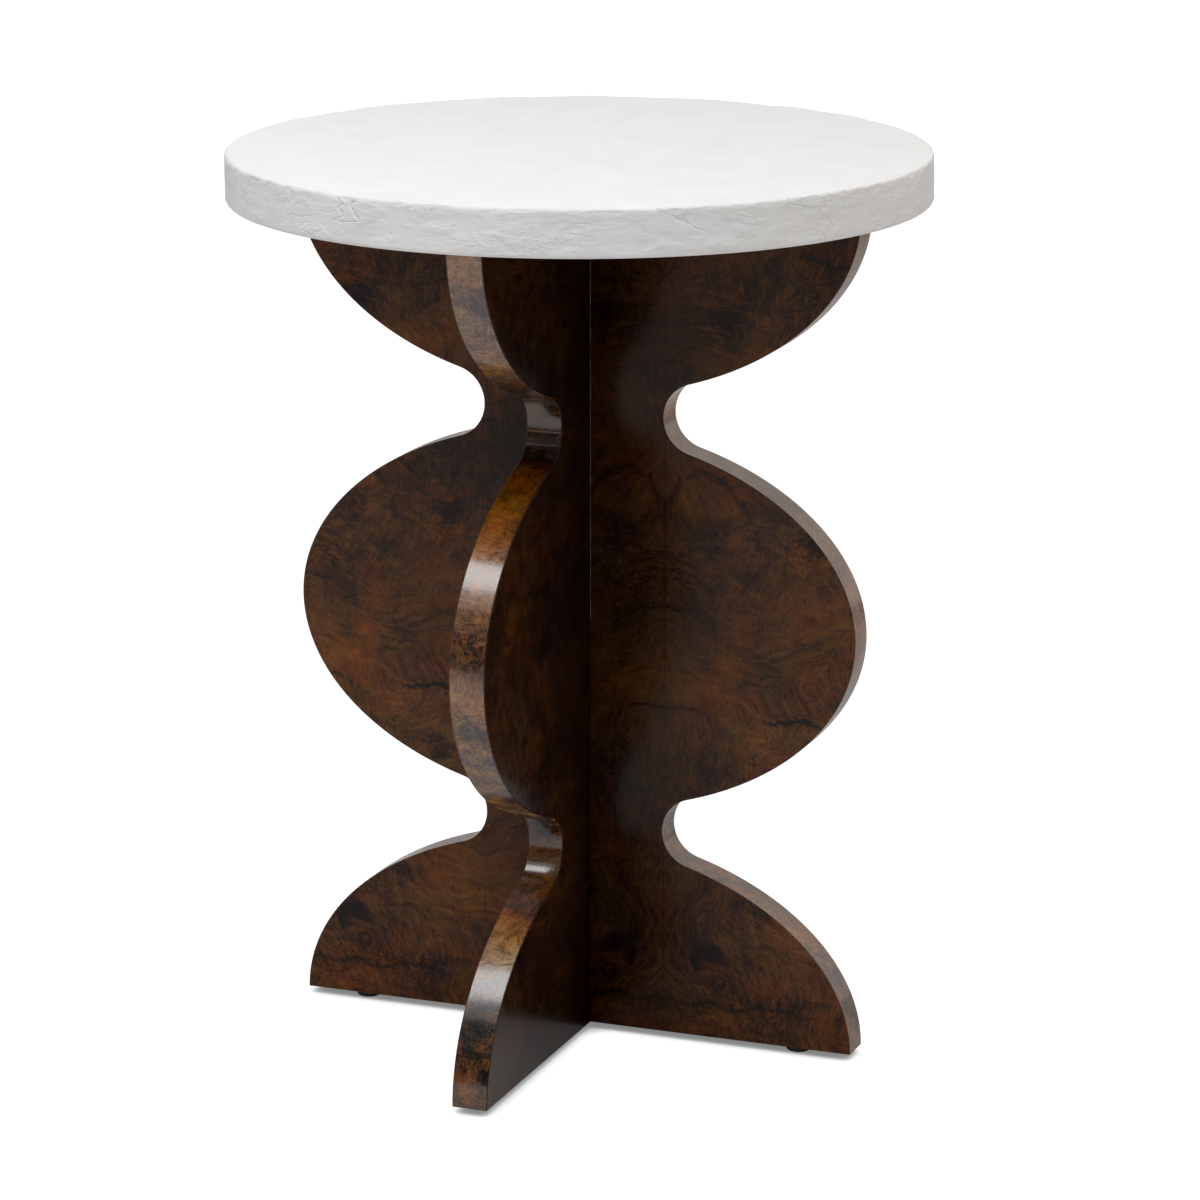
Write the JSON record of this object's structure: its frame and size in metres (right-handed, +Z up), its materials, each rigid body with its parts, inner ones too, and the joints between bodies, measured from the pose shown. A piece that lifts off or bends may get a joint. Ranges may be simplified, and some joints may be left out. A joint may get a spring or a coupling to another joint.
{
  "type": "side table",
  "caption": "Round side table: a thick plastered top on two crossed panels of burl veneer with wavy, three-lobed edges.",
  "frame": {"origin": "on the floor, under the middle of the round top", "axes": "+Z up along the middle of the table; +X along the wide panel to the right; -Y is the front, where the deep panel's edge faces"},
  "size_m": [0.5079, 0.508, 0.66],
  "materials": {
    "plaster": "hand-trowelled white plaster, sealed matt",
    "fibreboard": "raw fibreboard",
    "primed_board": "white primer on fibreboard",
    "burl_veneer": "walnut burl, book-matched, satin lacquer",
    "burl_edge_veneer": "walnut burl edge band, satin lacquer",
    "bracket_steel": "zinc-plated steel",
    "screw_steel": "zinc-plated pan-head wood screws",
    "glide_nylon": "black nylon",
    "nail_steel": "bright steel"
  },
  "bodies": {
    "root": {"plaster_coat": "plaster", "top_upper_board": "fibreboard", "top_lower_board": "primed_board", "wide_panel_core": "fibreboard", "wide_panel_front_veneer": "burl_veneer", "wide_panel_back_veneer": "burl_veneer", "wide_panel_left_edge_veneer": "burl_edge_veneer", "wide_panel_right_edge_veneer": "burl_edge_veneer", "deep_panel_core": "fibreboard", "deep_panel_left_veneer": "burl_veneer", "deep_panel_right_veneer": "burl_veneer", "deep_panel_front_edge_veneer": "burl_edge_veneer", "deep_panel_back_edge_veneer": "burl_edge_veneer", "bracket_right": "bracket_steel", "bracket_back": "bracket_steel", "bracket_left": "bracket_steel", "bracket_front": "bracket_steel", "screws_into_top": "screw_steel", "screws_into_panels": "screw_steel", "glide_right": "glide_nylon", "glide_back": "glide_nylon", "glide_left": "glide_nylon", "glide_front": "glide_nylon", "glide_nails": "nail_steel"}
  },
  "joints": []
}
